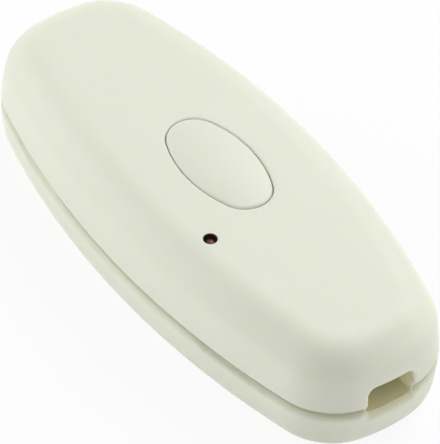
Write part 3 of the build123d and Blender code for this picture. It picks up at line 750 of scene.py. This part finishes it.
fillet_tree, sizes = new_tree("solder_fillet", "Radius", "Height", "Tip", "Hollow")
cone = sizes.add("GeometryNodeMeshCone", sockets={
    "Vertices": fillet_sides,
    "Side Segments": fillet_rings,
    "Radius Top": sizes.other("Tip"),
    "Radius Bottom": sizes.other("Radius"),
    "Depth": sizes.other("Height"),
})
here = cone.add("GeometryNodeInputPosition")
rise = here.add("ShaderNodeSeparateXYZ", sockets={0: here}, output=2) / sizes.other("Height")
pull = rise * (rise - 1) * sizes.other("Hollow")
flat = here.add("ShaderNodeVectorMath", {"operation": "MULTIPLY"}, {0: here, 1: (1, 1, 0)})
inward = flat.add("ShaderNodeVectorMath", {"operation": "SCALE"}, {0: flat, "Scale": pull})
cone = cone.add("GeometryNodeSetPosition", sockets={"Geometry": cone, "Offset": inward})
cone = cone.add("GeometryNodeTransform", sockets={"Geometry": cone, "Rotation": (math.pi, 0, 0)})
close_tree(sizes, cone)

tail_slice = 0.0001
tails = []
for node in ("radial_leads", "axial_leads", "switch_legs", "triac_leads", "terminal_cages"):
    for corners in islands(node):
        lowest = min(corner.z for corner in corners)
        tip = [corner for corner in corners if corner.z < lowest + tail_slice]
        middle = sum(tip, Vector()) / len(tip)
        tails.append((middle.x, middle.y, board_low.z))
grow(
    "solder_joints", fillet_tree, tails, "tinned_metal",
    Radius=fillet_radius, Height=fillet_height, Tip=fillet_tip, Hollow=fillet_hollow, Finish=solder,
)


# Terminal blocks: one for each cord, a green nylon housing over two brass cages. A zinc
# plated screw in each cage presses on the wire's end.

terminal_nylon = moulded_plastic(
    "terminal_nylon", colour=(0.085, 0.29, 0.165), shade=(0.06, 0.22, 0.12),
    roughness=0.42, grain=0.0003, depth=0.000006,
)
for block in ("input_terminal", "output_terminal"):
    wear(block, terminal_nylon)
wear("terminal_cages", streaked_metal(
    "brass", colour=(0.80, 0.62, 0.30), dull=(0.62, 0.45, 0.19),
    roughness=0.3, lay=(1, 1, 0.25), grain=0.0003,
))
wear("terminal_screws", zinc_steel)
terminal_screw_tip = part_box("terminal_screws")[0].z
terminal_screw_point = 0.0003
thread(
    "terminal_screws", radius=0.00125, pitch=0.00045, length=0.0022,
    start=terminal_screw_tip + terminal_screw_point,
)


# Heat sink and triac: a folded strip of mill finish aluminium, rolled along its length, with
# the triac's metal back screwed flat on it. The case is moulded black epoxy.

wear("heat_sink", streaked_metal(
    "mill_aluminium", colour=(0.74, 0.75, 0.76), dull=(0.60, 0.61, 0.62),
    roughness=0.36, lay=(0.06, 1, 1), grain=0.0004,
))
wear("triac_tab", streaked_metal(
    "tab_metal", colour=(0.70, 0.70, 0.69), dull=(0.55, 0.54, 0.52),
    roughness=0.3, lay=(1, 0.1, 1), grain=0.0003,
))
wear("triac_leads", tinned_metal)
black_epoxy = moulded_plastic(
    "black_epoxy", black_colour, black_shade, roughness=0.6, grain=0.00018, depth=0.00001,
)
wear("triac_body", black_epoxy)
for fastener in ("triac_screw", "triac_nut"):
    wear(fastener, zinc_steel)
triac_screw_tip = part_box("triac_screw")[0].z
triac_screw_point = 0.0001
thread(
    "triac_screw", radius=0.0015, pitch=0.0005, length=0.0030,
    start=triac_screw_tip + triac_screw_point,
)


# Choke: a sintered ferrite drum, dull and grainy with pale chips, wound with enamelled
# copper wire whose amber enamel gives it a deep gloss.

ferrite_shade = (0.055, 0.055, 0.06, 1)
ferrite_colour = (0.11, 0.11, 0.115, 1)
chip_colour = (0.24, 0.24, 0.25, 1)
chip_strength = 0.5
ferrite_spread = 0.2
ferrite_roughness = 0.55
ferrite, place, shader = finish("ferrite", **{"Specular IOR Level": 0.4})
grains = noise(place, size=0.0002, detail=3.0, roughness=0.7)
chips = step(noise(place, size=0.0011), edge=0.68, softness=0.02)
sintered = blend(place, grains, ferrite_shade, ferrite_colour)
feed(
    shader,
    Base_Color=blend(place, chips * chip_strength, sintered, chip_colour),
    Roughness=grains * ferrite_spread + ferrite_roughness,
    Normal=relief(grains, depth=0.00002),
)
wear("choke_core", ferrite)

enamel_shade = (0.60, 0.23, 0.075, 1)
enamel_colour = (0.76, 0.36, 0.14, 1)
enamel_spread = 0.1
enamel_roughness = 0.22
enamel_coat_spread = 0.3
enamel_coat = 0.6
enamel, place, shader = finish("copper_enamel", **{"Metallic": 0.85, "Coat Roughness": 0.08})
thickness = noise(place, size=0.0015)
feed(
    shader,
    Base_Color=blend(place, thickness, enamel_shade, enamel_colour),
    Roughness=thickness * enamel_spread + enamel_roughness,
    Coat_Weight=thickness * enamel_coat_spread + enamel_coat,
    Normal=relief(thickness, depth=0.000008),
)
wear("choke_winding", enamel)


# Film capacitor and varistor: a capacitor in a glossy yellow box, and a disc dipped in blue
# epoxy that ran a little before it set. Both skins have slow ripples.

speck_fineness = 8
gloss_spread = 0.1
ripple_height_share = 0.8
ripple_colour_share = 0.7


def glossy_skin(name, ripple, depth, roughness):
    """A glossy skin with slow ripples and fine specks, still without its colour."""
    material, place, shader = finish(name, **{"Coat Weight": 0.5, "Coat Roughness": 0.1})
    ripples = noise(place, ripple)
    specks = noise(place, ripple / speck_fineness, detail=1.0)
    feed(
        shader,
        Roughness=specks * gloss_spread + (roughness - gloss_spread / 2),
        Normal=relief(ripples * ripple_height_share + specks * (1 - ripple_height_share), depth),
    )
    return material, place, shader, ripples, specks


def plain_skin(name, colour, shade, ripple, depth, roughness):
    """A glossy skin of one colour, clouded with its shade."""
    material, place, shader, ripples, specks = glossy_skin(name, ripple, depth, roughness)
    mottle = ripples * ripple_colour_share + specks * (1 - ripple_colour_share)
    feed(shader, Base_Color=blend(place, mottle, (*shade, 1), (*colour, 1)))
    return material


wear("film_capacitor", plain_skin(
    "capacitor_case", colour=(0.80, 0.63, 0.13), shade=(0.66, 0.49, 0.08),
    ripple=0.004, depth=0.00008, roughness=0.32,
))
wear("varistor", plain_skin(
    "varistor_coat", colour=(0.09, 0.20, 0.48), shade=(0.055, 0.13, 0.36),
    ripple=0.0018, depth=0.00006, roughness=0.25,
))


# Smoothing capacitor: a shrunk dark sleeve with one pale stripe down the side of its minus
# wire, open over the bare aluminium top of the can.

sleeve_colour = (0.045, 0.045, 0.075, 1)
stripe_colour = (0.62, 0.63, 0.65, 1)
can_colour = (0.74, 0.75, 0.76, 1)
stripe_half_width = 0.0009
can_top_height = 0.00035
can_low, can_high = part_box("can_capacitor")
can_middle = (can_low + can_high) / 2

sleeve, place, shader, *_ = glossy_skin("can_sleeve", ripple=0.002, depth=0.00002, roughness=0.3)
axes = place.add("ShaderNodeSeparateXYZ", sockets={0: place})
aside = size_of(axes.other("Y") - can_middle.y)
stripe = step(axes, can_middle.x, softness=0.0001)
stripe = stripe * (1 - step(aside, stripe_half_width, softness=0.00003))
top = step(axes.other("Z"), can_high.z - can_top_height, softness=0.00005)
inks = blend(place, stripe, sleeve_colour, stripe_colour)
feed(shader, Base_Color=blend(place, top, inks, can_colour), Metallic=top)
wear("can_capacitor", sleeve)


# Control chip: a small outline package moulded in black epoxy, with a dimple near its first
# leg. Its tinned gull wing legs, four on each long side, stand flat on the board.

wear("control_chip", black_epoxy)
wear("chip_legs", tinned_metal)


# Resistors, diodes and fuse: lacquered tan bodies with colour rings, black moulded diodes
# with a pale ring at one end, and a ceramic fuse with plated caps. All lie across the board
# on bent tinned wires, and the capacitors' wires are tinned too.


def across_board(place, node):
    """How far a point lies across the board from the middle of a node's box."""
    low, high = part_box(node)
    return place.add("ShaderNodeSeparateXYZ", sockets={0: place}, output=1) - (low.y + high.y) / 2


def ring(reach, middle, half_width):
    """1 on a ring round a body that lies across the board."""
    return between(reach, middle - half_width, middle + half_width, softness=0.00004)


ring_half_width = 0.00028
ring_pitch = 0.0011
brown_ring = (0.16, 0.06, 0.025, 1)
black_ring = (0.03, 0.03, 0.03, 1)
orange_ring = (0.75, 0.24, 0.03, 1)
gold_ring = (0.62, 0.45, 0.14, 1)
ring_colours = (brown_ring, black_ring, orange_ring, gold_ring)
tan_shade = (0.52, 0.38, 0.22, 1)
tan_colour = (0.64, 0.49, 0.31, 1)
lacquer, place, shader, ripples, _ = glossy_skin(
    "resistor_lacquer", ripple=0.0016, depth=0.00003, roughness=0.3
)
reach = across_board(place, "resistors")
coat = blend(place, ripples, tan_shade, tan_colour)
for number, colour in enumerate(ring_colours):
    middle = (number - (len(ring_colours) - 1) / 2) * ring_pitch
    coat = blend(place, ring(reach, middle, ring_half_width), coat, colour)
feed(shader, Base_Color=coat)
wear("resistors", lacquer)

diode_band_middle = 0.0018
diode_band_half = 0.00045
diode_band_colour = (0.58, 0.58, 0.57, 1)
diode_roughness = 0.42
diode_case, place, shader = finish("diode_case", **{"Specular IOR Level": plastic_specular})
speckle = noise(place, size=0.0002, detail=1.0)
reach = across_board(place, "diodes")
band = ring(reach, diode_band_middle, diode_band_half)
case = blend(place, speckle, (*black_shade, 1), (*black_colour, 1))
feed(
    shader,
    Base_Color=blend(place, band, case, diode_band_colour),
    Roughness=speckle * roughness_spread + diode_roughness,
    Normal=relief(speckle, depth=0.000006),
)
wear("diodes", diode_case)

fuse_cap_edge = 0.0019
fuse_cap_colour = (0.74, 0.74, 0.72, 1)
fuse_cap_polish = 0.22
ceramic_shade = (0.50, 0.43, 0.33, 1)
ceramic_colour = (0.60, 0.53, 0.43, 1)
ceramic_spread = 0.15
ceramic_roughness = 0.5
fuse_finish, place, shader = finish("fuse_ceramic", **{"Specular IOR Level": 0.45})
speckle = noise(place, size=0.0003)
reach = across_board(place, "fuse")
cap = step(size_of(reach), fuse_cap_edge, softness=0.00003)
ceramic = blend(place, speckle, ceramic_shade, ceramic_colour)
feed(
    shader,
    Base_Color=blend(place, cap, ceramic, fuse_cap_colour),
    Metallic=cap,
    Roughness=speckle * ceramic_spread + ceramic_roughness - cap * fuse_cap_polish,
    Normal=relief(speckle, depth=0.00001),
)
wear("fuse", fuse_finish)

for wires in ("axial_leads", "radial_leads"):
    wear(wires, tinned_metal)
